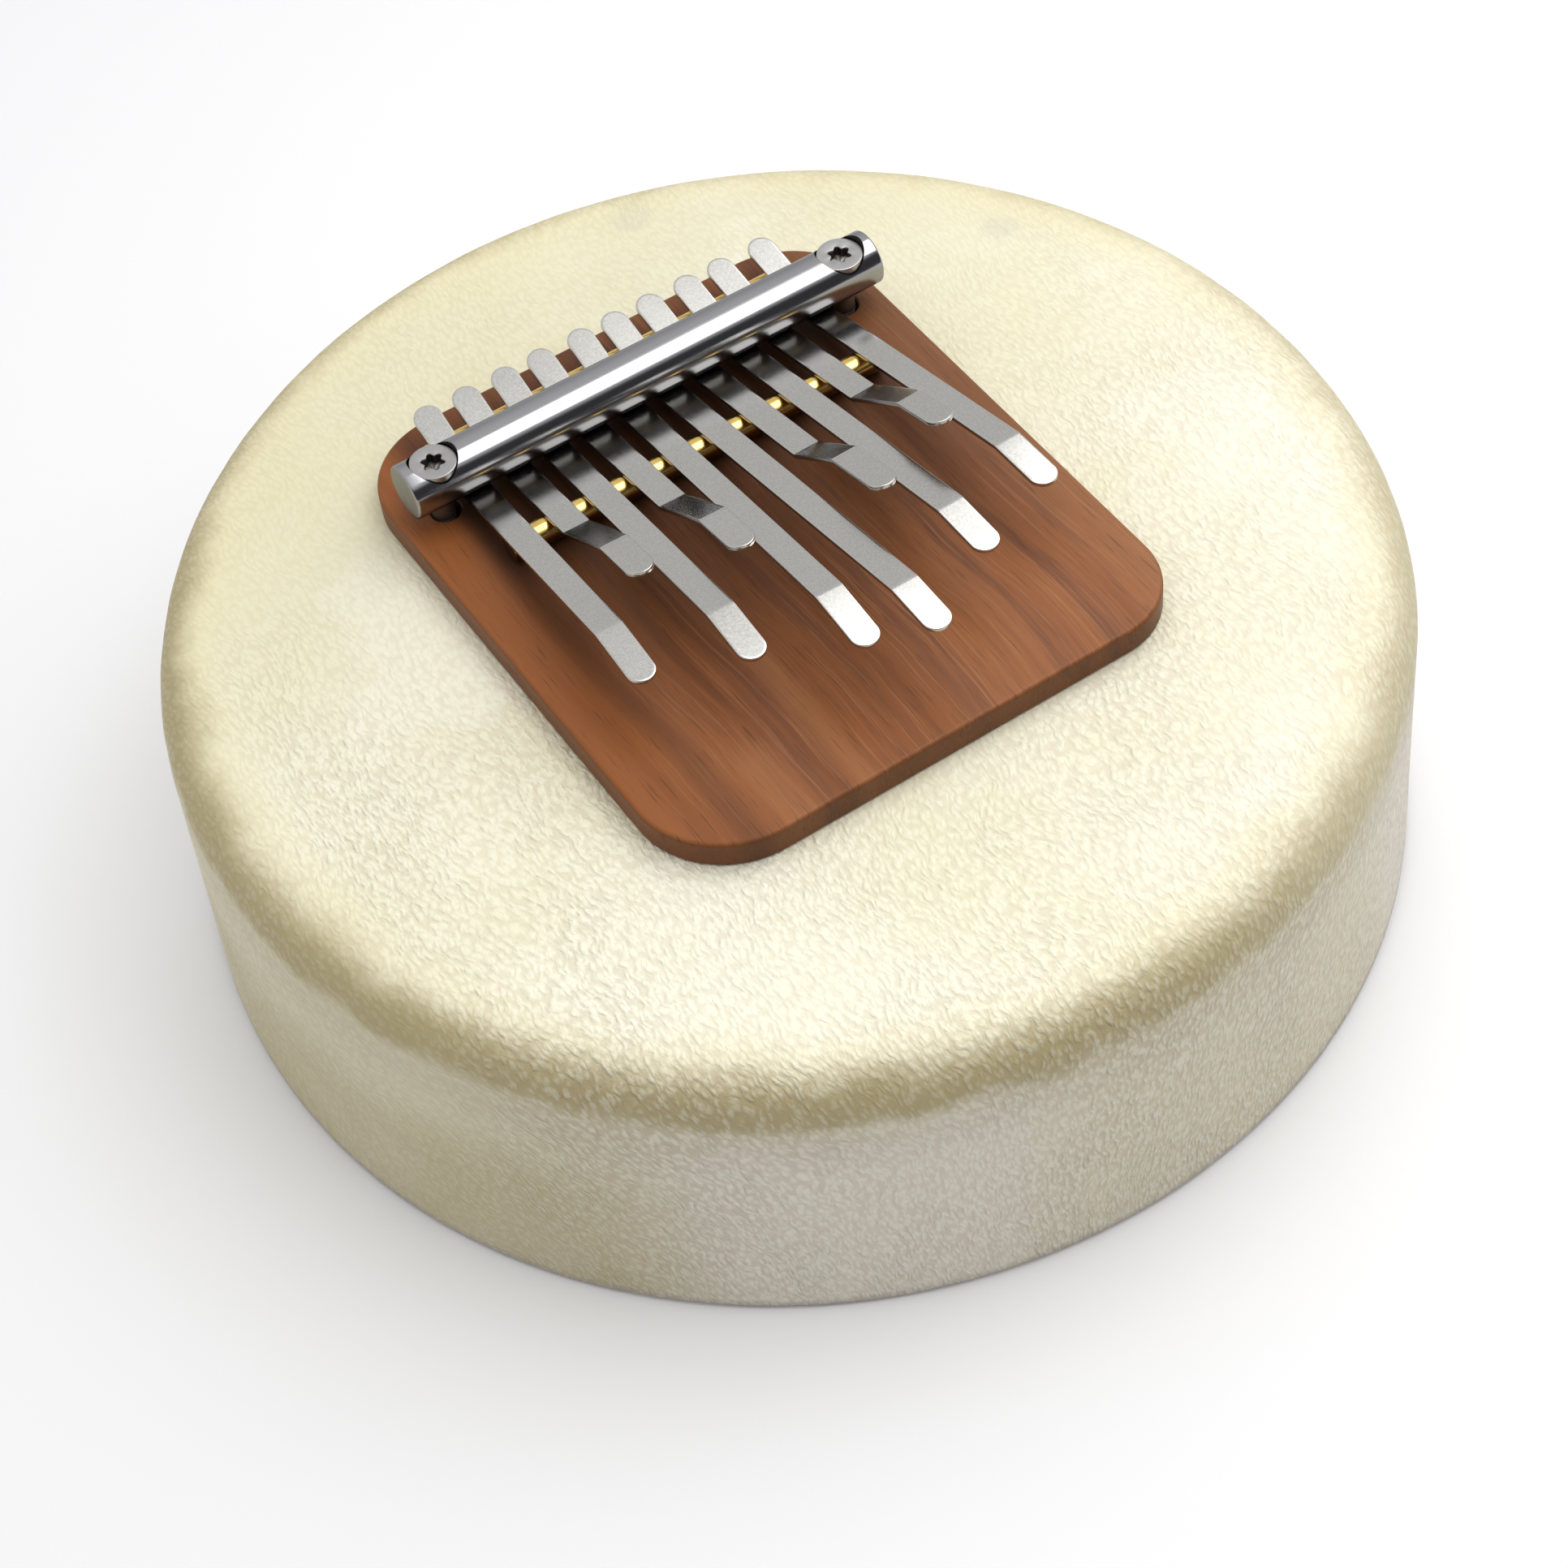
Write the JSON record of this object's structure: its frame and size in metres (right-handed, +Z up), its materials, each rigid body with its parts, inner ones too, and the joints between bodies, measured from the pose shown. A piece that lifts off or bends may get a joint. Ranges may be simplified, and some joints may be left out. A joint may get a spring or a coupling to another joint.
{
  "type": "frame-drum kalimba",
  "caption": "Round kalimba: spring-steel tines clamped by a round bar over brass bridges on a wood plate, on a hide-covered frame drum.",
  "frame": {"origin": "centre of the drum's bottom rim, on the surface it stands on", "axes": "+X along the clamp bar to the player's right, the tines' tips towards -Y (the player), +Z up out of the drum head"},
  "size_m": [0.2596, 0.2596, 0.1004],
  "materials": {
    "hide": "pebbled natural goatskin, stretched and glued, cream with a yellower turn at the rim",
    "shell_wood": "bent wood hoop, bare inside",
    "plate_wood": "satin oiled red-brown hardwood",
    "steel": "satin flat spring steel and plain steel hardware",
    "turned_steel": "fine-turned bright stainless steel",
    "brass": "polished brass rod"
  },
  "bodies": {
    "instrument": {"drum_shell": "shell_wood", "drum_skin": "hide", "sound_plate": "plate_wood", "front_bridge": "brass", "rear_bridge": "brass", "clamp_bar": "turned_steel", "clamp_screw_left": "turned_steel", "clamp_screw_right": "turned_steel", "clamp_washer_left": "steel", "clamp_washer_right": "steel", "clamp_nut_left": "steel", "clamp_nut_right": "steel", "tine_01_root": "steel", "tine_02_root": "steel", "tine_03_root": "steel", "tine_04_root": "steel", "tine_05_root": "steel", "tine_06_root": "steel", "tine_07_root": "steel", "tine_08_root": "steel", "tine_09_root": "steel", "tine_10_root": "steel"},
    "tine_01_speaking": {"tine_01_tongue": "steel"},
    "tine_02_speaking": {"tine_02_tongue": "steel"},
    "tine_03_speaking": {"tine_03_tongue": "steel"},
    "tine_04_speaking": {"tine_04_tongue": "steel"},
    "tine_05_speaking": {"tine_05_tongue": "steel"},
    "tine_06_speaking": {"tine_06_tongue": "steel"},
    "tine_07_speaking": {"tine_07_tongue": "steel"},
    "tine_08_speaking": {"tine_08_tongue": "steel"},
    "tine_09_speaking": {"tine_09_tongue": "steel"},
    "tine_10_speaking": {"tine_10_tongue": "steel"}
  },
  "joints": [
    {"name": "tine_01_pluck", "type": "hinge", "parent": "instrument", "child": "tine_01_speaking", "pos_m": [-0.0416, 0.03014, 0.08231], "axis": [0.9993, -0.0384, 0], "range_deg": [-2, 4], "stiffness_Nm_per_rad": 5.26},
    {"name": "tine_02_pluck", "type": "hinge", "parent": "instrument", "child": "tine_02_speaking", "pos_m": [-0.03181, 0.03013, 0.08231], "axis": [0.9997, -0.0227, 0], "range_deg": [-2, 4], "stiffness_Nm_per_rad": 7.59},
    {"name": "tine_03_pluck", "type": "hinge", "parent": "instrument", "child": "tine_03_speaking", "pos_m": [-0.02273, 0.03013, 0.08231], "axis": [0.9996, -0.0297, 0], "range_deg": [-2, 4], "stiffness_Nm_per_rad": 4.5},
    {"name": "tine_04_pluck", "type": "hinge", "parent": "instrument", "child": "tine_04_speaking", "pos_m": [-0.01337, 0.03013, 0.08231], "axis": [0.9999, -0.0122, 0], "range_deg": [-2, 4], "stiffness_Nm_per_rad": 6.44},
    {"name": "tine_05_pluck", "type": "hinge", "parent": "instrument", "child": "tine_05_speaking", "pos_m": [-0.0042, 0.03013, 0.08231], "axis": [0.9995, -0.0305, 0], "range_deg": [-2, 4], "stiffness_Nm_per_rad": 3.82},
    {"name": "tine_06_pluck", "type": "hinge", "parent": "instrument", "child": "tine_06_speaking", "pos_m": [0.00543, 0.03012, 0.08231], "axis": [1, 0.0044, 0], "range_deg": [-2, 4], "stiffness_Nm_per_rad": 3.54},
    {"name": "tine_07_pluck", "type": "hinge", "parent": "instrument", "child": "tine_07_speaking", "pos_m": [0.01473, 0.03013, 0.08231], "axis": [0.9998, 0.0209, 0], "range_deg": [-2, 4], "stiffness_Nm_per_rad": 5.82},
    {"name": "tine_08_pluck", "type": "hinge", "parent": "instrument", "child": "tine_08_speaking", "pos_m": [0.02428, 0.03013, 0.08231], "axis": [0.9997, 0.0253, 0], "range_deg": [-2, 4], "stiffness_Nm_per_rad": 4.19},
    {"name": "tine_09_pluck", "type": "hinge", "parent": "instrument", "child": "tine_09_speaking", "pos_m": [0.03337, 0.03014, 0.08231], "axis": [0.9991, 0.0419, 0], "range_deg": [-2, 4], "stiffness_Nm_per_rad": 6.97},
    {"name": "tine_10_pluck", "type": "hinge", "parent": "instrument", "child": "tine_10_speaking", "pos_m": [0.04363, 0.03014, 0.08231], "axis": [0.9992, 0.0393, 0], "range_deg": [-2, 4], "stiffness_Nm_per_rad": 4.76}
  ]
}
